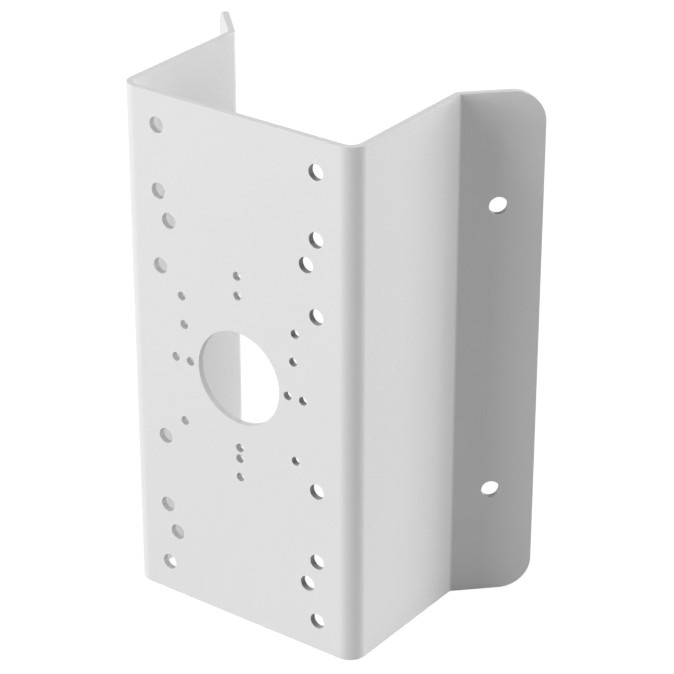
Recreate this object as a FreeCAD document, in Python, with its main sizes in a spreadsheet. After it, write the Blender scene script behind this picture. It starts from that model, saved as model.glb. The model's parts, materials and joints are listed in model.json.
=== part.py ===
import FreeCAD, Part
import math
import os

import Sketcher
from FreeCAD import Placement, Rotation, Vector

# Corner mount bracket for a camera: one steel sheet, cut and folded into a hat section.
# It stands upright: X runs across the front plate, -Y points out of it and Z runs up.
# The front plate carries the hole patterns, two walls run straight back from it,
# and two flanges turn outwards to lie on the two faces of an outside wall corner.
# All lengths are in millimetres and all angles in degrees.

SIZES = [
    ("plate_height", 250.0, "height of the whole fold"),
    ("front_width", 126.6, "width over the outer faces of the two walls"),
    ("wall_depth", 76.0, "front face to the sharp crease between wall and flange"),
    ("flange_width", 38.0, "sharp crease to the free edge, along the flange"),
    ("flange_angle", 45.0, "turn of the flange out of the wall's direction"),
    ("sheet_thickness", 3.0, "thickness of the sheet"),
    ("front_bend_radius", 5.0, "inside radius of the two front bends"),
    ("rear_bend_radius", 2.0, "inside radius of the two rear bends"),
    ("flange_corner_radius", 15.0, "rounding of the free flange corners"),
    ("flange_hole_diameter", 8.5, "holes for the wall screws"),
    ("flange_hole_spacing", 143.0, "upper to lower wall screw"),
    ("flange_hole_margin", 20.0, "wall screw to the free edge"),
    ("cable_hole_diameter", 45.0, "round passage for the cables"),
    ("large_hole_diameter", 7.5, "large holes of the front plate"),
    ("small_hole_diameter", 4.2, "small holes of the front plate"),
    ("main_pattern_width", 85.8, "width of the three large patterns on the centre"),
    ("tall_pattern_margin", 15.0, "tallest large pattern to the plate's upper and lower edge"),
    ("middle_pattern_height", 158.0, "height of the middle large pattern"),
    ("short_pattern_height", 85.8, "height of the square large pattern"),
    ("inset_pattern_width", 75.1, "width of the narrower large pattern"),
    ("inset_pattern_height", 158.0, "height of the narrower large pattern"),
    ("inset_pattern_drop", 13.0, "its centre below the plate's centre"),
    ("small_square_width", 62.6, "width of the small square pattern"),
    ("small_square_height", 62.6, "height of the small square pattern"),
    ("ring_diameter", 70.0, "circle through the ring of small holes"),
    ("ring_hole_count", 3, "holes in that ring, the first at its foot"),
    ("inner_upright_step", 5.5, "ring to the inner pair of small holes above and below it"),
    ("outer_upright_step", 9.5, "that pair to the outer pair above and below it"),
    ("inner_level_step", 4.75, "cable hole's edge to the inner pair of small holes beside it"),
    ("outer_level_step", 8.3, "that pair to the outer pair beside it"),
]

# Sketcher's own codes: a curve's start, end and centre count up from 1,
# and the axes of a sketch count down from -1.
START, END, CENTRE = range(1, 4)
LEVEL_AXIS, UPRIGHT_AXIS = range(-1, -3, -1)
ORIGIN = (LEVEL_AXIS, START)


def write_sheet(doc):
    """Put every driving size into the spreadsheet, with its alias and a note."""
    sheet = doc.addObject("Spreadsheet::Sheet", "Sizes")
    for row, (alias, value, note) in enumerate(SIZES, start=1):
        sheet.set(f"A{row}", alias)
        sheet.set(f"B{row}", str(value))
        sheet.set(f"C{row}", note)
        sheet.setAlias(f"B{row}", alias)
    doc.recompute()
    return sheet


def origin_plane(body, role):
    """Return one of the body's own origin planes."""
    for feature in body.Origin.OriginFeatures:
        if feature.Role == role:
            return feature
    raise RuntimeError(f"{body.Label} has no {role}")


def add_sketch(body, name, role):
    """Add a sketch on one of the body's origin planes."""
    sketch = body.newObject("Sketcher::SketchObject", name)
    sketch.AttachmentSupport = [(origin_plane(body, role), "")]
    sketch.MapMode = "FlatFace"
    return sketch


def bind(sketch, kind, references, value, expression):
    """Add a dimension to a sketch and bind it to the spreadsheet."""
    index = sketch.addConstraint(Sketcher.Constraint(kind, *references, value))
    sketch.setExpression(f"Constraints[{index}]", expression)


def constrain(sketch, kind, *references):
    """Add a geometric constraint to a sketch."""
    sketch.addConstraint(Sketcher.Constraint(kind, *references))


def require_full_constraint(sketch):
    """Stop if a sketch is over-constrained or still has a free size."""
    sketch.Document.recompute()
    if sketch.solve() != 0 or not sketch.FullyConstrained:
        raise RuntimeError(f"{sketch.Name} is not fully constrained")


def half_section(body, size):
    """Sketch the right half of the folded sheet, seen from above.

    The outline runs out along the outer face, over the free edge and back along the
    inner face. The two arcs of a bend share one centre.
    """
    half_width = size.front_width / 2
    turn = math.radians(size.flange_angle)
    thickness = size.sheet_thickness
    outward = Vector(math.sin(turn), math.cos(turn), 0)
    backward = Vector(-math.cos(turn), math.sin(turn), 0)

    front_inside = size.front_bend_radius
    front_outside = front_inside + thickness
    front_centre = Vector(half_width - front_outside, front_outside, 0)
    rear_inside = size.rear_bend_radius
    rear_outside = rear_inside + thickness
    rear_run = rear_inside * math.tan(turn / 2)
    rear_centre = Vector(half_width + rear_inside, size.wall_depth - rear_run, 0)

    crease_at = Vector(half_width, size.wall_depth, 0)
    free_front = crease_at + outward * size.flange_width
    free_back = free_front + backward * thickness
    up = Vector(0, 0, 1)

    def arc(centre, radius, first, last):
        return Part.ArcOfCircle(Part.Circle(centre, up, radius), first, last)

    def line(first, last):
        return Part.LineSegment(first, last)

    sketch = add_sketch(body, "half_section", "XY_Plane")
    front_outer = sketch.addGeometry(line(Vector(), Vector(front_centre.x, 0, 0)))
    front_arc_outer = sketch.addGeometry(
        arc(front_centre, front_outside, 1.5 * math.pi, 2 * math.pi))
    wall_outer = sketch.addGeometry(
        line(Vector(half_width, front_centre.y, 0), Vector(half_width, rear_centre.y, 0)))
    rear_arc_near = sketch.addGeometry(
        arc(rear_centre, rear_inside, math.pi - turn, math.pi))
    flange_front = sketch.addGeometry(line(rear_centre + backward * rear_inside, free_front))
    free_edge = sketch.addGeometry(line(free_front, free_back))
    flange_back = sketch.addGeometry(line(free_back, rear_centre + backward * rear_outside))
    rear_arc_far = sketch.addGeometry(
        arc(rear_centre, rear_outside, math.pi - turn, math.pi))
    wall_inner = sketch.addGeometry(
        line(Vector(half_width - thickness, rear_centre.y, 0),
             Vector(half_width - thickness, front_centre.y, 0)))
    front_arc_inner = sketch.addGeometry(
        arc(front_centre, front_inside, 1.5 * math.pi, 2 * math.pi))
    front_inner = sketch.addGeometry(
        line(Vector(front_centre.x, thickness, 0), Vector(0, thickness, 0)))
    middle = sketch.addGeometry(line(Vector(0, thickness, 0), Vector()))
    crease = sketch.addGeometry(Part.Point(crease_at), True)

    constrain(sketch, "Coincident", front_outer, START, *ORIGIN)
    constrain(sketch, "Tangent", front_outer, END, front_arc_outer, START)
    constrain(sketch, "Tangent", front_arc_outer, END, wall_outer, START)
    constrain(sketch, "Tangent", wall_outer, END, rear_arc_near, END)
    constrain(sketch, "Tangent", rear_arc_near, START, flange_front, START)
    constrain(sketch, "Coincident", flange_front, END, free_edge, START)
    constrain(sketch, "Coincident", free_edge, END, flange_back, START)
    constrain(sketch, "Tangent", flange_back, END, rear_arc_far, START)
    constrain(sketch, "Tangent", rear_arc_far, END, wall_inner, START)
    constrain(sketch, "Tangent", wall_inner, END, front_arc_inner, END)
    constrain(sketch, "Tangent", front_arc_inner, START, front_inner, START)
    constrain(sketch, "Coincident", front_inner, END, middle, START)
    constrain(sketch, "Coincident", middle, END, front_outer, START)
    constrain(sketch, "Coincident", front_arc_inner, CENTRE, front_arc_outer, CENTRE)
    constrain(sketch, "Coincident", rear_arc_far, CENTRE, rear_arc_near, CENTRE)
    constrain(sketch, "Horizontal", front_outer)
    constrain(sketch, "Horizontal", front_inner)
    constrain(sketch, "Vertical", middle)
    constrain(sketch, "Vertical", wall_outer)
    constrain(sketch, "Vertical", wall_inner)
    constrain(sketch, "Parallel", flange_back, flange_front)
    constrain(sketch, "Perpendicular", free_edge, flange_front)
    constrain(sketch, "PointOnObject", crease, START, wall_outer)
    constrain(sketch, "PointOnObject", crease, START, flange_front)

    bind(sketch, "DistanceY", (*ORIGIN, middle, START), thickness, "Sizes.sheet_thickness")
    bind(sketch, "DistanceX", (*ORIGIN, crease, START), half_width, "Sizes.front_width / 2")
    bind(sketch, "DistanceY", (*ORIGIN, crease, START), size.wall_depth, "Sizes.wall_depth")
    bind(sketch, "Distance", (crease, START, flange_front, END),
         size.flange_width, "Sizes.flange_width")
    bind(sketch, "Angle", (flange_front,), math.pi / 2 - turn,
         "(90 - Sizes.flange_angle) * 1deg")
    bind(sketch, "Radius", (front_arc_inner,), front_inside, "Sizes.front_bend_radius")
    bind(sketch, "Radius", (rear_arc_near,), rear_inside, "Sizes.rear_bend_radius")
    require_full_constraint(sketch)
    return sketch, (free_front + free_back) / 2


def edges_near(shape, places):
    """Name the edge of a shape whose middle lies at each of the places."""
    names = []
    for place in places:
        gaps = [(edge.CenterOfMass - place).Length for edge in shape.Edges]
        names.append(f"Edge{gaps.index(min(gaps)) + 1}")
    return names


def front_sketch(body, name):
    """Add a sketch on the front face, with its origin at the centre of the plate."""
    sketch = add_sketch(body, name, "XZ_Plane")
    sketch.setExpression("AttachmentOffset.Base.y", "Sizes.plate_height / 2")
    return sketch


def flange_sketch(body, name):
    """Add a sketch on the right flange's front face, with its origin on the crease."""
    sketch = add_sketch(body, name, "XZ_Plane")
    sketch.AttachmentOffset = Placement(Vector(), Rotation(Vector(0, 1, 0), 1))
    sketch.setExpression("AttachmentOffset.Base.x", "Sizes.front_width / 2")
    sketch.setExpression("AttachmentOffset.Base.y", "Sizes.plate_height / 2")
    sketch.setExpression("AttachmentOffset.Base.z", "-Sizes.wall_depth")
    sketch.setExpression("AttachmentOffset.Rotation.Angle", "(90 - Sizes.flange_angle) * 1deg")
    return sketch


def add_circles(sketch, places, radius, diameter_alias):
    """Draw equal circles, the first of which takes the diameter from the sheet."""
    circles = []
    for x, y in places:
        circle = Part.Circle(Vector(x, y, 0), Vector(0, 0, 1), radius)
        circles.append(sketch.addGeometry(circle))
    bind(sketch, "Diameter", (circles[0],), 2 * radius, f"Sizes.{diameter_alias}")
    for other in circles[1:]:
        constrain(sketch, "Equal", circles[0], other)
    return circles


def cut_through(body, sketch, name):
    """Cut a sketch's circles straight through the sheet and test that they did cut."""
    require_full_constraint(sketch)
    before = body.Tip.Shape.Volume
    pocket = body.newObject("PartDesign::Pocket", name)
    pocket.Profile = sketch
    pocket.Type = "ThroughAll"
    body.Document.recompute()
    if not pocket.Shape.Volume < before:
        raise RuntimeError(f"{name} removes nothing")
    body.Tip = pocket
    return pocket


def hole_rectangle(body, size, name, width, height, diameter, margin=None, drop=None):
    """Cut four holes at the corners of an upright rectangle.

    It ends a margin short of the height at both ends, if margin names one. It is
    centred on the plate, or lies lower by the size that drop names.
    """
    half_width = getattr(size, width) / 2
    half_height = getattr(size, height) / 2
    height_rule = f"Sizes.{height}"
    if margin:
        half_height -= getattr(size, margin)
        height_rule += f" - 2 * Sizes.{margin}"
    fall = getattr(size, drop) if drop else 0
    corners = [(-half_width, half_height - fall), (half_width, half_height - fall),
               (half_width, -half_height - fall), (-half_width, -half_height - fall)]
    sketch = front_sketch(body, f"{name}_sketch")
    circles = add_circles(sketch, corners, getattr(size, diameter) / 2, diameter)
    top_left, top_right, low_right, low_left = circles
    if drop:
        centre = sketch.addGeometry(Part.Point(Vector(0, -fall, 0)), True)
        constrain(sketch, "PointOnObject", centre, START, UPRIGHT_AXIS)
        bind(sketch, "DistanceY", (centre, START, *ORIGIN), fall, f"Sizes.{drop}")
        middle = (centre, START)
    else:
        middle = ORIGIN
    constrain(sketch, "Symmetric", top_left, CENTRE, low_right, CENTRE, *middle)
    constrain(sketch, "Horizontal", top_left, CENTRE, top_right, CENTRE)
    constrain(sketch, "Horizontal", low_left, CENTRE, low_right, CENTRE)
    constrain(sketch, "Vertical", top_left, CENTRE, low_left, CENTRE)
    constrain(sketch, "Vertical", top_right, CENTRE, low_right, CENTRE)
    bind(sketch, "DistanceX", (top_left, CENTRE, top_right, CENTRE),
         2 * half_width, f"Sizes.{width}")
    bind(sketch, "DistanceY", (low_left, CENTRE, top_left, CENTRE),
         2 * half_height, height_rule)
    cut_through(body, sketch, name)


def hole_pair(body, size, name, diameter, steps, upright):
    """Cut two small holes on either side of the plate's centre.

    They lie outside the circle of the named diameter, by the sum of the named steps.
    """
    half = getattr(size, diameter) / 2 + sum(getattr(size, step) for step in steps)
    rule = " + ".join([f"Sizes.{diameter}"] + [f"2 * Sizes.{step}" for step in steps])
    places = [(0, -half), (0, half)] if upright else [(-half, 0), (half, 0)]
    sketch = front_sketch(body, f"{name}_sketch")
    first, second = add_circles(
        sketch, places, size.small_hole_diameter / 2, "small_hole_diameter")
    constrain(sketch, "Symmetric", first, CENTRE, second, CENTRE, *ORIGIN)
    constrain(sketch, "Vertical" if upright else "Horizontal", first, CENTRE, second, CENTRE)
    bind(sketch, "DistanceY" if upright else "DistanceX",
         (first, CENTRE, second, CENTRE), 2 * half, rule)
    cut_through(body, sketch, name)


def hole_ring(body, size):
    """Cut the lowest hole of the ring and repeat it around the plate's centre."""
    sketch = front_sketch(body, "ring_sketch")
    (foot,) = add_circles(sketch, [(0, -size.ring_diameter / 2)],
                          size.small_hole_diameter / 2, "small_hole_diameter")
    constrain(sketch, "PointOnObject", foot, CENTRE, UPRIGHT_AXIS)
    bind(sketch, "DistanceY", (foot, CENTRE, *ORIGIN),
         size.ring_diameter / 2, "Sizes.ring_diameter / 2")
    pocket = cut_through(body, sketch, "ring_foot_hole")
    ring = body.newObject("PartDesign::PolarPattern", "ring_holes")
    ring.Originals = [pocket]
    ring.Axis = (sketch, ["N_Axis"])
    ring.Angle = 360
    ring.setExpression("Occurrences", "Sizes.ring_hole_count")
    body.Document.recompute()
    body.Tip = ring


def cable_passage(body, size):
    """Cut the large round hole for the cables at the plate's centre."""
    sketch = front_sketch(body, "cable_passage_sketch")
    (circle,) = add_circles(
        sketch, [(0, 0)], size.cable_hole_diameter / 2, "cable_hole_diameter")
    constrain(sketch, "Coincident", circle, CENTRE, *ORIGIN)
    cut_through(body, sketch, "cable_passage")


def folded_half(body, size):
    """Raise the right half of the sheet, round its flange and drill its wall screw holes."""
    sketch, free_edge_middle = half_section(body, size)
    pad = body.newObject("PartDesign::Pad", "folded_half")
    pad.Profile = sketch
    pad.setExpression("Length", "Sizes.plate_height")
    body.Document.recompute()

    corners = body.newObject("PartDesign::Fillet", "flange_corners")
    top = Vector(0, 0, size.plate_height)
    corners.Base = (pad, edges_near(pad.Shape, [free_edge_middle, free_edge_middle + top]))
    corners.setExpression("Radius", "Sizes.flange_corner_radius")
    body.Document.recompute()
    body.Tip = corners

    across = size.flange_width - size.flange_hole_margin
    half = size.flange_hole_spacing / 2
    holes = flange_sketch(body, "wall_screw_sketch")
    low, high = add_circles(holes, [(across, -half), (across, half)],
                            size.flange_hole_diameter / 2, "flange_hole_diameter")
    constrain(holes, "Vertical", low, CENTRE, high, CENTRE)
    bind(holes, "DistanceX", (*ORIGIN, low, CENTRE), across,
         "Sizes.flange_width - Sizes.flange_hole_margin")
    bind(holes, "DistanceY", (low, CENTRE, *ORIGIN), half, "Sizes.flange_hole_spacing / 2")
    bind(holes, "DistanceY", (low, CENTRE, high, CENTRE), 2 * half,
         "Sizes.flange_hole_spacing")
    cut_through(body, holes, "wall_screw_holes")


def mirror_half(body):
    """Add the left half as the mirror image of the right one."""
    mirrored = body.newObject("PartDesign::Mirrored", "other_half")
    mirrored.TransformMode = "Whole shape"
    mirrored.MirrorPlane = (origin_plane(body, "YZ_Plane"), [""])
    body.Document.recompute()
    body.Tip = mirrored


def build_bracket(doc, size):
    """Build the bracket, with its origin below the middle of its outer box."""
    body = doc.addObject("PartDesign::Body", "corner_bracket")
    body.Label = "corner_bracket"
    folded_half(body, size)
    mirror_half(body)
    hole_rectangle(body, size, "tall_pattern", "main_pattern_width",
                   "plate_height", "large_hole_diameter", margin="tall_pattern_margin")
    hole_rectangle(body, size, "middle_pattern", "main_pattern_width",
                   "middle_pattern_height", "large_hole_diameter")
    hole_rectangle(body, size, "short_pattern", "main_pattern_width",
                   "short_pattern_height", "large_hole_diameter")
    hole_rectangle(body, size, "inset_pattern", "inset_pattern_width",
                   "inset_pattern_height", "large_hole_diameter", drop="inset_pattern_drop")
    hole_rectangle(body, size, "small_square", "small_square_width",
                   "small_square_height", "small_hole_diameter")
    hole_ring(body, size)
    inner_upright = ["inner_upright_step"]
    outer_upright = ["inner_upright_step", "outer_upright_step"]
    inner_level = ["inner_level_step"]
    outer_level = ["inner_level_step", "outer_level_step"]
    hole_pair(body, size, "inner_upright_pair", "ring_diameter", inner_upright, upright=True)
    hole_pair(body, size, "outer_upright_pair", "ring_diameter", outer_upright, upright=True)
    hole_pair(body, size, "inner_level_pair", "cable_hole_diameter", inner_level, upright=False)
    hole_pair(body, size, "outer_level_pair", "cable_hole_diameter", outer_level, upright=False)
    cable_passage(body, size)
    body.setExpression(
        "Placement.Base.y",
        "-(Sizes.wall_depth + Sizes.flange_width * cos(Sizes.flange_angle * 1deg)"
        " + Sizes.sheet_thickness * sin(Sizes.flange_angle * 1deg)) / 2")
    return body


def write_part(doc, body):
    """Check every object of the document and the solid, then write its STEP file."""
    doc.recompute()
    for item in doc.Objects:
        if "Invalid" in item.State or "Error" in item.State:
            raise RuntimeError(f"{item.Name} failed: {item.State}")
    shape = body.Shape
    if shape.isNull() or not shape.isValid() or len(shape.Solids) != 1:
        raise RuntimeError(f"{body.Label} is not one valid solid")
    os.makedirs("parts", exist_ok=True)
    shape.exportStep(f"parts/{body.Label}.step")
    box = shape.BoundBox
    print(f"{body.Label}: {box.XLength:.2f} x {box.YLength:.2f} x {box.ZLength:.2f} mm,"
          f" y {box.YMin:.3f} to {box.YMax:.3f}, volume {shape.Volume / 1000:.2f} cm3,"
          f" {len(shape.Faces)} faces")


document = FreeCAD.newDocument("corner_mount_bracket")
sizes = write_sheet(document)
bracket = build_bracket(document, sizes)
write_part(document, bracket)
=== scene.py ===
import json
import math

import bmesh
import bpy
from bpy.props import FloatProperty, FloatVectorProperty, IntProperty, PointerProperty
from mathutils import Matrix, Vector


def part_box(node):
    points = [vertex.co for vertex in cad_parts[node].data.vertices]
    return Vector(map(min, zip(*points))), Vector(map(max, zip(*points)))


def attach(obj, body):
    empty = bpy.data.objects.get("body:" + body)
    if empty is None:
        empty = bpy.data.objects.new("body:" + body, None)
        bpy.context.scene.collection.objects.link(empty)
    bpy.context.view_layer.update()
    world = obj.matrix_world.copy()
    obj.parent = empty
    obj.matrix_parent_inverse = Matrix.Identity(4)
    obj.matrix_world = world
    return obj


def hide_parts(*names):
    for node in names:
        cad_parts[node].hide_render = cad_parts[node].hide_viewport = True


# The camera corner bracket: one steel sheet, drilled, folded into a hat section and
# powder coated. It stands on a pale floor in soft studio light.
# Everything is in metres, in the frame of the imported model: X runs across the front
# plate, -Y points out of it and Z runs up.

bl_info = {
    "name": "Camera Corner Bracket",
    "version": (1, 0, 0),
    "blender": (4, 5, 0),
    "location": "3D View > Sidebar > Bracket",
    "description": "Folds, drills and coats the corner bracket, and lights it in a studio",
    "category": "Add Mesh",
}

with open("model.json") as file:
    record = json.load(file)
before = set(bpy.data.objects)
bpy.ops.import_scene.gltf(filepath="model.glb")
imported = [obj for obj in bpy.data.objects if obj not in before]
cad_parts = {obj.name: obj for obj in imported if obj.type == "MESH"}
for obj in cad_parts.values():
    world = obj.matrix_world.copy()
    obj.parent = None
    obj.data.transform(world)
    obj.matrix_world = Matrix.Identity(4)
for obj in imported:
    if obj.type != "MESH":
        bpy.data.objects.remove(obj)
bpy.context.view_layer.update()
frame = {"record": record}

NODE = "corner_bracket"
LOW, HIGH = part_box(NODE)
MOUNTS = {mount["name"]: mount for mount in frame["record"]["mounts"]}
# The front plate's patterns of four holes or of two, as the record names them.
FRONT_PATTERNS = [
    "tall_pattern", "middle_pattern", "short_pattern", "inset_pattern", "small_square",
    "outer_upright_pair", "inner_upright_pair", "outer_level_pair", "inner_level_pair",
]
WHITE = (1, 1, 1, 1)
# The record gives the holes in millimetres.
MM = 0.001

# Two points of the folded sheet that are closer than this are one.
SAME_POINT = 0.00001
# Two points of the drilled sheet that are closer than this are one.
SAME_CUT_POINT = 0.000001
# Faces that meet at a smaller turn than this are merged into one flat face.
FLAT_TURN = math.radians(0.2)
# Faces that meet at a larger turn than this have an edge between them.
EDGE_TURN = math.radians(40)
# A hole of this radius or more gets twice as many faces.
WIDE_HOLE = 0.01
# Width of the sensor that the lens is stated for, in millimetres.
SENSOR_WIDTH = 36.0
# The camera sees nothing that is nearer than this.
CAMERA_CLIP = 0.05

# Where each lamp hangs, in degrees: round from the front to the right, and up.
LAMPS = (
    ("front_lamp", -15, 8),
    ("upper_lamp", -30, 42),
    ("left_lamp", -60, 8),
    ("right_lamp", 105, 8),
    ("rear_lamp", 135, 24),
    ("far_rear_lamp", 150, 8),
    ("top_lamp", 0, 88),
)


class BracketSizes(bpy.types.PropertyGroup):
    """Sizes of the folded sheet"""

    height: FloatProperty(
        name="Height", description="Height of the whole fold",
        default=HIGH[2] - LOW[2], unit="LENGTH")
    front_width: FloatProperty(
        name="Front width", description="Width over the outer faces of the two walls",
        default=0.1266, unit="LENGTH")
    wall_depth: FloatProperty(
        name="Wall depth", description="Front face to the sharp crease of wall and flange",
        default=0.076, unit="LENGTH")
    flange_width: FloatProperty(
        name="Flange width", description="Sharp crease to the free edge, along the flange",
        default=0.038, unit="LENGTH")
    flange_turn: FloatProperty(
        name="Flange turn", description="Turn of the flange out of the wall's direction",
        default=math.radians(45), subtype="ANGLE")
    thickness: FloatProperty(
        name="Thickness", description="Thickness of the sheet",
        default=0.003, unit="LENGTH")
    front_bend: FloatProperty(
        name="Front bend", description="Inside radius of the two front bends",
        default=0.005, unit="LENGTH")
    rear_bend: FloatProperty(
        name="Rear bend", description="Inside radius of the two rear bends",
        default=0.002, unit="LENGTH")
    flange_corner: FloatProperty(
        name="Flange corner", description="Rounding of the free flange corners",
        default=0.015, unit="LENGTH")
    edge_rounding: FloatProperty(
        name="Edge rounding", description="How far the coat rounds a cut edge",
        default=0.00005, unit="LENGTH")
    bend_steps: IntProperty(
        name="Bend steps", description="Faces in a quarter turn of a bend",
        default=24, min=4)
    hole_steps: IntProperty(
        name="Hole steps", description="Faces round a screw hole",
        default=64, min=8)
    edge_steps: IntProperty(
        name="Edge steps", description="Faces across the rounding of a cut edge",
        default=3, min=1)


class CoatLook(bpy.types.PropertyGroup):
    """Colour and grain of the powder coat"""

    colour: FloatVectorProperty(
        name="Colour", description="Colour of the powder coat",
        default=(0.74, 0.74, 0.74), subtype="COLOR", min=0, max=1)
    darkest: FloatProperty(
        name="Darkest", description="Share of the colour where the tone is darkest",
        default=0.965, min=0)
    lightest: FloatProperty(
        name="Lightest", description="Share of the colour where the tone is lightest",
        default=1.01, min=0)
    drift_scale: FloatProperty(
        name="Drift scale", description="How often tone and roughness drift in a metre",
        default=14.0)
    drift_share: FloatProperty(
        name="Drift share", description="Share of the drift in the tone, beside the grain",
        default=0.8, min=0, max=1, subtype="FACTOR")
    roughness: FloatProperty(
        name="Roughness", description="Middle roughness of the powder coat",
        default=0.75, min=0, max=1, subtype="FACTOR")
    roughness_drift: FloatProperty(
        name="Roughness drift", description="How far apart the roughest and smoothest coat are",
        default=0.08, min=0, max=1, subtype="FACTOR")
    refraction: FloatProperty(
        name="Refraction", description="Index of refraction of the powder coat",
        default=1.45, min=1)
    # Painted shade: a darker share of the coat's colour on the screw holes' walls stands in for
    # the shade that falls in them.
    painted_hole_shade: FloatProperty(
        name="Hole shade", description="Share of the colour that is left in the screw holes",
        default=0.72, min=0, max=1, subtype="FACTOR")
    grain_size: FloatProperty(
        name="Grain size", description="Distance from one grain of the coat to the next",
        default=0.001, unit="LENGTH")
    grain_height: FloatProperty(
        name="Grain height", description="Height of the grain of the coat",
        default=0.00011, unit="LENGTH")


class StudioLook(bpy.types.PropertyGroup):
    """Camera, floor and light of the studio"""

    camera_place: FloatVectorProperty(
        name="Camera place", description="Where the camera stands",
        default=(0.676010, -0.892983, 0.696717), subtype="XYZ", unit="LENGTH")
    camera_azimuth: FloatProperty(
        name="Camera azimuth", description="Turn of the view to the bracket's right",
        default=math.radians(36.508), subtype="ANGLE")
    camera_elevation: FloatProperty(
        name="Camera elevation", description="How steeply the camera looks down",
        default=math.radians(27.085), subtype="ANGLE")
    lens: FloatProperty(
        name="Lens", description="Focal length in millimetres, for a sensor 36 mm wide",
        default=148.05)
    floor_size: FloatProperty(
        name="Floor size", description="Side of the square floor",
        default=12.0, unit="LENGTH")
    floor_colour: FloatVectorProperty(
        name="Floor colour", description="Colour of the floor",
        default=(0.45, 0.45, 0.45), subtype="COLOR", min=0, max=1)
    shadow: FloatProperty(
        name="Shadow", description="How much of the shadow on the floor the camera sees",
        default=0.2, min=0, max=1, subtype="FACTOR")
    shadow_reach: FloatProperty(
        name="Shadow reach", description="Distance at which the floor has faded to plain white",
        default=1.5, unit="LENGTH")
    floor_glow: FloatProperty(
        name="Floor glow", description="Strength of the white that the camera sees as floor",
        default=1.2)
    ambient: FloatProperty(
        name="Ambient", description="Strength of the even light from all round",
        default=0.02)
    lamp_distance: FloatProperty(
        name="Lamp distance", description="How far each lamp hangs from the bracket",
        default=4.0, unit="LENGTH")
    lamp_side: FloatProperty(
        name="Lamp side", description="Side of each square lamp",
        default=1.12, unit="LENGTH")
    front_lamp: FloatProperty(
        name="Front lamp", description="Power of the low lamp in front",
        default=70.0, unit="POWER")
    upper_lamp: FloatProperty(
        name="Upper lamp", description="Power of the high lamp in front",
        default=58.0, unit="POWER")
    left_lamp: FloatProperty(
        name="Left lamp", description="Power of the lamp on the left",
        default=40.0, unit="POWER")
    right_lamp: FloatProperty(
        name="Right lamp", description="Power of the lamp on the right",
        default=41.0, unit="POWER")
    rear_lamp: FloatProperty(
        name="Rear lamp", description="Power of the high lamp behind on the right",
        default=50.0, unit="POWER")
    far_rear_lamp: FloatProperty(
        name="Far rear lamp", description="Power of the low lamp behind on the right",
        default=72.0, unit="POWER")
    top_lamp: FloatProperty(
        name="Top lamp", description="Power of the lamp overhead",
        default=48.0, unit="POWER")


class Wire:
    """A socket of a material's node tree that can be used in Python expressions."""

    def __init__(self, tree, socket):
        self.tree = tree
        self.socket = socket

    def _math(self, operation, first, second):
        return self.tree.add("ShaderNodeMath", {"operation": operation}, {0: first, 1: second})

    def __add__(self, other):
        return self._math("ADD", self, other)

    def __radd__(self, other):
        return self._math("ADD", other, self)

    def __sub__(self, other):
        return self._math("SUBTRACT", self, other)

    def __rsub__(self, other):
        return self._math("SUBTRACT", other, self)

    def __mul__(self, other):
        return self._math("MULTIPLY", self, other)

    def __rmul__(self, other):
        return self._math("MULTIPLY", other, self)

    def __gt__(self, other):
        return self._math("GREATER_THAN", self, other)

    def __lt__(self, other):
        return self._math("LESS_THAN", self, other)

    def __abs__(self):
        return self.tree.add("ShaderNodeMath", {"operation": "ABSOLUTE"}, {0: self})


class ShaderTree:
    """The node tree of a material or world, to which nodes are added one by one."""

    def __init__(self, owner):
        owner.use_nodes = True
        self.owner = owner
        self.nodes = owner.node_tree.nodes
        self.links = owner.node_tree.links
        self.nodes.clear()

    def add(self, kind, settings=None, inputs=None, output=0):
        """Add a node. Its settings are set first, then its inputs, by value or by link."""
        node = self.nodes.new(kind)
        for name, value in (settings or {}).items():
            setattr(node, name, value)
        for name, value in (inputs or {}).items():
            if isinstance(value, Wire):
                self.links.new(value.socket, node.inputs[name])
            else:
                node.inputs[name].default_value = value
        return Wire(self, node.outputs[output]) if node.outputs else None

    def axes(self, place):
        """The X, Y and Z of a place."""
        parts = self.add("ShaderNodeSeparateXYZ", None, {"Vector": place}).socket.node
        return [Wire(self, socket) for socket in parts.outputs]

    def noise(self, place, scale, roughness):
        """Soft noise in space, from 0 to 1. The scale says how often it turns in a metre."""
        return self.add("ShaderNodeTexNoise", {"noise_dimensions": "3D"}, {
            "Vector": place, "Scale": scale, "Detail": 2.0, "Roughness": roughness})

    def mix(self, factor, first, second):
        """A mix of two colours."""
        return self.add("ShaderNodeMix", {"data_type": "RGBA"}, {
            "Factor": factor, "A": first, "B": second}, output="Result")

    def seen_directly(self):
        """1 where the camera, a mirror or glass sees this, and 0 for the light it gives."""
        path = [self.add("ShaderNodeLightPath", output=name) for name in (
            "Is Camera Ray", "Is Glossy Ray", "Is Transmission Ray")]
        return path[0] + path[1] + path[2]


def shade(colour, share=1):
    """A share of a colour, with full cover, for a colour socket."""
    return [min(1.0, share * channel) for channel in colour] + [1.0]


def half_flat(size):
    """Half the width of the front plate's flat part, between the two front bends."""
    return size.front_width / 2 - (size.front_bend + size.thickness)


def painted_shade_in_holes(tree, place, size):
    """1 on the walls of the front plate's screw holes, where shade is painted into the coat,
    and 0 elsewhere.
    """
    across, deep, up = tree.axes(place)
    margin = 2 * size.edge_rounding
    depth = deep - LOW[1]
    in_sheet = (depth > margin) * (depth < size.thickness - margin)
    half = size.height / 2
    on_plate = (abs(across) < half_flat(size)) * (abs(up - half) < half - size.thickness)
    passage = MOUNTS["cable_passage"]
    rise = up - passage["pos_m"][2]
    reach = passage["dims"]["r_mm"] * MM + margin
    off_passage = across * across + rise * rise > reach * reach
    return in_sheet * on_plate * off_passage


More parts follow.
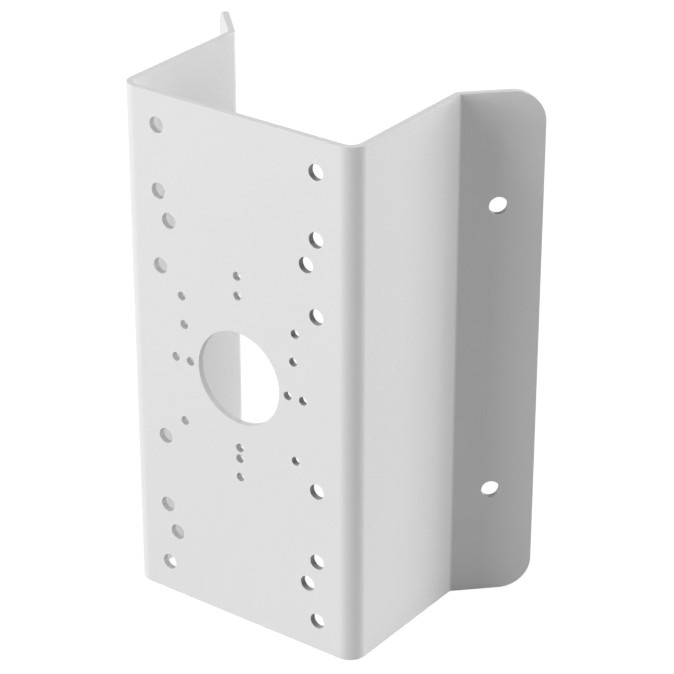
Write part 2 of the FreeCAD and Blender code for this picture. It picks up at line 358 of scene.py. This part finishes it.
def coat_material(look, size):
    """Pale grey powder coat with a fine grain, and painted shade that darkens the walls of the
    screw holes.
    """
    tree = ShaderTree(bpy.data.materials.new("powder_coat"))
    place = tree.add("ShaderNodeTexCoord", output="Object")
    grain = tree.noise(place, scale=1 / look.grain_size, roughness=0.6)
    drift = tree.noise(place, scale=look.drift_scale, roughness=0.5)
    spread = drift * look.drift_share + grain * (1 - look.drift_share)
    tone = tree.mix(
        spread, shade(look.colour, look.darkest), shade(look.colour, look.lightest))
    # Painted shade: the screw holes' walls take a darker share of the coat's colour.
    colour = tree.mix(
        painted_shade_in_holes(tree, place, size), tone, shade(look.colour, look.painted_hole_shade))
    relief = tree.add("ShaderNodeBump", None, {
        "Strength": 1.0, "Distance": look.grain_height, "Height": grain})
    shader = tree.add("ShaderNodeBsdfPrincipled", None, {
        "Base Color": colour, "IOR": look.refraction, "Normal": relief,
        "Roughness": look.roughness + (drift - 0.5) * look.roughness_drift})
    tree.add("ShaderNodeOutputMaterial", None, {"Surface": shader})
    return tree.owner


def floor_material(look):
    """Pale matt floor that the camera sees as white, with the bracket's shadow on it."""
    tree = ShaderTree(bpy.data.materials.new("studio_floor"))
    place = tree.add("ShaderNodeTexCoord", output="Object")
    across, deep, _ = tree.axes(place)
    far = (across * across + deep * deep) * (1 / look.shadow_reach ** 2)
    closeness = tree.add(
        "ShaderNodeMath", {"operation": "SUBTRACT", "use_clamp": True}, {0: 1.0, 1: far})
    matt = tree.add("ShaderNodeBsdfDiffuse", None, {"Color": shade(look.floor_colour)})
    white = tree.add("ShaderNodeEmission", None, {
        "Color": WHITE, "Strength": look.floor_glow})
    shader = tree.add("ShaderNodeMixShader", None, {
        "Fac": tree.seen_directly() * (1 - look.shadow * closeness), 1: matt, 2: white})
    tree.add("ShaderNodeOutputMaterial", None, {"Surface": shader})
    return tree.owner


def white_world(look):
    """A world that is seen as white and gives a little even light."""
    world = bpy.data.worlds.new("studio_world")
    tree = ShaderTree(world)
    even = tree.add("ShaderNodeBackground", None, {"Color": WHITE, "Strength": look.ambient})
    white = tree.add("ShaderNodeBackground", None, {"Color": WHITE, "Strength": 1.0})
    shader = tree.add("ShaderNodeMixShader", None, {
        "Fac": tree.seen_directly(), 1: even, 2: white})
    tree.add("ShaderNodeOutputWorld", None, {"Surface": shader})
    return world


def deselect():
    """Deselect every object."""
    bpy.ops.object.select_all(action="DESELECT")


def pick(piece):
    """Select one object and nothing else, and make it the active one."""
    deselect()
    piece.select_set(True)
    bpy.context.view_layer.objects.active = piece


def edit(piece):
    """Go into edit mode on one piece, with nothing selected in its mesh."""
    pick(piece)
    bpy.ops.object.mode_set(mode="EDIT")
    bpy.ops.mesh.select_all(action="DESELECT")


def select(piece, mode, test):
    """In edit mode, select just the vertices, edges or faces whose middle passes a test."""
    bpy.ops.mesh.select_mode(type=mode)
    bpy.ops.mesh.select_all(action="DESELECT")
    mesh = bmesh.from_edit_mesh(piece.data)
    if mode == "VERT":
        for vertex in mesh.verts:
            vertex.select_set(test(vertex.co))
    elif mode == "EDGE":
        for edge in mesh.edges:
            edge.select_set(test((edge.verts[0].co + edge.verts[1].co) / 2))
    else:
        for face in mesh.faces:
            face.select_set(test(face.calc_center_median()))
    mesh.select_flush_mode()
    bmesh.update_edit_mesh(piece.data)


def apply_modifier(piece, kind, **settings):
    """Add a modifier to a piece, set it and apply it."""
    pick(piece)
    modifier = piece.modifiers.new(kind.title(), kind)
    for name, value in settings.items():
        setattr(modifier, name, value)
    bpy.ops.object.modifier_apply(modifier=modifier.name)


def near(first, second):
    """Whether two coordinates are so close that they count as the same."""
    return abs(first - second) < SAME_POINT


def towards(azimuth, elevation):
    """Direction from the bracket: azimuth 0 is straight in front, 90 degrees its right."""
    return Vector((
        math.sin(azimuth) * math.cos(elevation), -math.cos(azimuth) * math.cos(elevation),
        math.sin(elevation)))


def plate_holes():
    """Middle and radius of each hole in the front plate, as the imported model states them."""
    holes = []
    for name in FRONT_PATTERNS:
        dims = MOUNTS[name]["dims"]
        middle = Vector(MOUNTS[name]["pos_m"])
        wide = dims.get("spacing_x_mm", 0) * MM / 2
        tall = dims.get("spacing_y_mm", 0) * MM / 2
        corners = {(x, z) for x in (-wide, wide) for z in (-tall, tall)}
        for x, z in sorted(corners):
            holes.append((middle + Vector((x, 0, z)), dims["hole_r_mm"] * MM))
    ring = MOUNTS["small_ring"]
    for index in range(ring["dims"]["count"]):
        turn = 2 * math.pi * index / ring["dims"]["count"]
        arm = Vector((math.sin(turn), 0, -math.cos(turn))) * ring["dims"]["pcd_mm"] * MM / 2
        holes.append((Vector(ring["pos_m"]) + arm, ring["dims"]["hole_r_mm"] * MM))
    passage = MOUNTS["cable_passage"]
    holes.append((Vector(passage["pos_m"]), passage["dims"]["r_mm"] * MM))
    return holes


def flange_holes():
    """Middle, radius and turn from straight ahead of each hole in the two flanges."""
    holes = []
    for name in ("right_wall_screws", "left_wall_screws"):
        screws = MOUNTS[name]
        turn = math.atan2(screws["axis"][1], screws["axis"][0]) + math.pi / 2
        for side in (-1, 1):
            rise = Vector((0, 0, side * screws["dims"]["pcd_mm"] * MM / 2))
            holes.append(
                (Vector(screws["pos_m"]) + rise, screws["dims"]["hole_r_mm"] * MM, turn))
    return holes


class BRACKET_OT_folded_sheet(bpy.types.Operator):
    """Fold the drilled sheet, soften its edges and coat it"""

    bl_idname = "bracket.folded_sheet"
    bl_label = "Folded Sheet"

    def execute(self, context):
        size = context.scene.bracket_sizes
        piece = self.fold_right_half(size)
        self.round_flange_corners(piece, size)
        self.mirror_and_thicken(piece, size)
        self.drill(piece, size)
        self.soften_edges(piece, size)
        piece.data.materials.append(coat_material(context.scene.coat_look, size))
        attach(piece, "root")
        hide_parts(NODE)
        return {"FINISHED"}

    def fold_right_half(self, size):
        """Fold the right half of the sheet's outer face, from the middle to the free edge."""
        flat = half_flat(size)
        half = size.front_width / 2
        outer_bend = size.front_bend + size.thickness
        front = LOW[1]
        rear_run = size.rear_bend * math.tan(size.flange_turn / 2)
        wall_end = front + size.wall_depth - rear_run

        deselect()
        bpy.ops.mesh.primitive_plane_add(
            size=1, location=(flat / 2, front, size.height / 2),
            rotation=(math.pi / 2, 0, 0))
        piece = bpy.context.object
        piece.name = piece.data.name = "folded_bracket"
        piece.scale = (flat, size.height, 1)
        bpy.ops.object.transform_apply(location=True, rotation=True, scale=True)

        # The front bend, the wall, the rear bend and the flange grow from the plate's edge.
        edit(piece)
        select(piece, "EDGE", lambda middle: near(middle.x, flat))
        bpy.ops.mesh.spin(
            steps=size.bend_steps, angle=math.pi / 2,
            center=(flat, front + outer_bend, 0), axis=(0, 0, -1))
        bpy.ops.mesh.extrude_edges_move(TRANSFORM_OT_translate={
            "value": (0, wall_end - front - outer_bend, 0)})
        bpy.ops.mesh.spin(
            steps=size.bend_steps // 2, angle=size.flange_turn,
            center=(half + size.rear_bend, wall_end, 0), axis=(0, 0, 1))
        outward = Vector((math.sin(size.flange_turn), math.cos(size.flange_turn), 0))
        bpy.ops.mesh.extrude_edges_move(TRANSFORM_OT_translate={
            "value": outward * (size.flange_width - rear_run)})
        bpy.ops.object.mode_set(mode="OBJECT")
        return piece

    def round_flange_corners(self, piece, size):
        """Round the two free corners of the flange."""
        edit(piece)
        free = max(vertex.co.x for vertex in piece.data.vertices)
        select(piece, "VERT", lambda place: near(place.x, free))
        bpy.ops.mesh.bevel(
            offset=size.flange_corner, segments=size.bend_steps, profile=0.5,
            affect="VERTICES")
        bpy.ops.object.mode_set(mode="OBJECT")

    def mirror_and_thicken(self, piece, size):
        """Mirror the right half and give the sheet its thickness, behind its outer face."""
        apply_modifier(
            piece, "MIRROR", use_axis=(True, False, False), merge_threshold=SAME_POINT)
        edit(piece)
        bpy.ops.mesh.select_all(action="SELECT")
        bpy.ops.mesh.remove_doubles(threshold=SAME_POINT)
        bpy.ops.mesh.normals_make_consistent(inside=False)
        bpy.ops.object.mode_set(mode="OBJECT")
        # An open sheet may come out with all its faces turned inwards.
        front = min(piece.data.polygons, key=lambda face: face.center.y)
        if front.normal.y > 0:
            edit(piece)
            bpy.ops.mesh.select_all(action="SELECT")
            bpy.ops.mesh.flip_normals()
            bpy.ops.object.mode_set(mode="OBJECT")
        apply_modifier(
            piece, "SOLIDIFY", thickness=size.thickness, offset=-1,
            use_even_offset=True, use_quality_normals=True)

    def drill(self, piece, size):
        """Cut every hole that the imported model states, straight through the sheet."""
        holes = [(place, radius, 0) for place, radius in plate_holes()] + flange_holes()
        cutters = []
        for place, radius, turn in holes:
            deselect()
            bpy.ops.mesh.primitive_cylinder_add(
                vertices=size.hole_steps * (1 if radius < WIDE_HOLE else 2), radius=radius,
                depth=3 * size.thickness, location=place, rotation=(math.pi / 2, 0, turn))
            cutters.append(bpy.context.object)
        deselect()
        for cutter in cutters:
            cutter.select_set(True)
        bpy.ops.object.join()
        cutter = bpy.context.object
        apply_modifier(piece, "BOOLEAN", operation="DIFFERENCE", solver="EXACT", object=cutter)
        bpy.data.objects.remove(cutter)
        edit(piece)
        bpy.ops.mesh.select_all(action="SELECT")
        bpy.ops.mesh.remove_doubles(threshold=SAME_CUT_POINT)
        bpy.ops.mesh.dissolve_limited(angle_limit=FLAT_TURN)
        bpy.ops.object.mode_set(mode="OBJECT")

    def soften_edges(self, piece, size):
        """Round the cut edges as the coat does, and shade the bends smoothly."""
        apply_modifier(
            piece, "BEVEL", width=size.edge_rounding, segments=size.edge_steps,
            limit_method="ANGLE", angle_limit=EDGE_TURN, use_clamp_overlap=False,
            loop_slide=False)
        pick(piece)
        bpy.ops.object.shade_smooth_by_angle(angle=EDGE_TURN)
        apply_modifier(piece, "WEIGHTED_NORMAL", keep_sharp=True, weight=100)


class BRACKET_OT_studio(bpy.types.Operator):
    """Set up the floor, the lamps and the camera"""

    bl_idname = "bracket.studio"
    bl_label = "Studio"

    def execute(self, context):
        look = context.scene.studio_look
        self.lay_floor(look)
        self.light(context, look)
        self.place_camera(context, look)
        context.scene.view_settings.view_transform = "Standard"
        return {"FINISHED"}

    def lay_floor(self, look):
        """Lay the pale floor that the bracket stands on."""
        deselect()
        bpy.ops.mesh.primitive_plane_add(size=look.floor_size)
        floor = bpy.context.object
        floor.name = floor.data.name = "studio_floor"
        floor.data.materials.append(floor_material(look))

    def light(self, context, look):
        """Hang the lamps and set the even light from all round."""
        for name, azimuth, elevation in LAMPS:
            self.add_lamp(name, look, math.radians(azimuth), math.radians(elevation))
        context.scene.world = white_world(look)

    def add_lamp(self, name, look, azimuth, elevation):
        """Hang a square lamp round the bracket and aim it at the bracket's middle."""
        back = towards(azimuth, elevation)
        deselect()
        bpy.ops.object.light_add(
            type="AREA", location=(LOW + HIGH) / 2 + back * look.lamp_distance)
        lamp = bpy.context.object
        lamp.name = lamp.data.name = name
        lamp.rotation_euler = back.to_track_quat("Z", "Y").to_euler()
        lamp.data.size = look.lamp_side
        lamp.data.energy = getattr(look, name)

    def place_camera(self, context, look):
        """Put the camera where the bracket is seen from its upper right."""
        back = towards(look.camera_azimuth, look.camera_elevation)
        deselect()
        bpy.ops.object.camera_add(location=look.camera_place)
        camera = bpy.context.object
        camera.name = camera.data.name = "studio_camera"
        camera.rotation_euler = back.to_track_quat("Z", "Y").to_euler()
        camera.data.lens = look.lens
        camera.data.sensor_width = SENSOR_WIDTH
        camera.data.clip_start = CAMERA_CLIP
        context.scene.camera = camera


class BRACKET_PT_sidebar(bpy.types.Panel):
    """Lists the bracket's sizes, its finish and the studio"""

    bl_idname = "BRACKET_PT_sidebar"
    bl_label = "Camera Corner Bracket"
    bl_space_type = "VIEW_3D"
    bl_region_type = "UI"
    bl_category = "Bracket"

    def draw(self, context):
        scene = context.scene
        groups = (
            (scene.bracket_sizes, BRACKET_OT_folded_sheet),
            (scene.coat_look, None),
            (scene.studio_look, BRACKET_OT_studio),
        )
        for group, operator in groups:
            box = self.layout.box()
            for name in group.__annotations__:
                box.prop(group, name)
            if operator:
                box.operator(operator.bl_idname)


CLASSES = (
    BracketSizes, CoatLook, StudioLook,
    BRACKET_OT_folded_sheet, BRACKET_OT_studio, BRACKET_PT_sidebar,
)


def register():
    """Register the classes and hang their sizes and looks on the scene."""
    for item in CLASSES:
        bpy.utils.register_class(item)
    bpy.types.Scene.bracket_sizes = PointerProperty(type=BracketSizes)
    bpy.types.Scene.coat_look = PointerProperty(type=CoatLook)
    bpy.types.Scene.studio_look = PointerProperty(type=StudioLook)


def unregister():
    """Take the sizes and looks off the scene and unregister the classes."""
    del bpy.types.Scene.studio_look
    del bpy.types.Scene.coat_look
    del bpy.types.Scene.bracket_sizes
    for item in reversed(CLASSES):
        bpy.utils.unregister_class(item)


def main():
    """Build the bracket and the studio."""
    register()
    bpy.ops.bracket.folded_sheet()
    bpy.ops.bracket.studio()


if __name__ == "__main__":
    main()
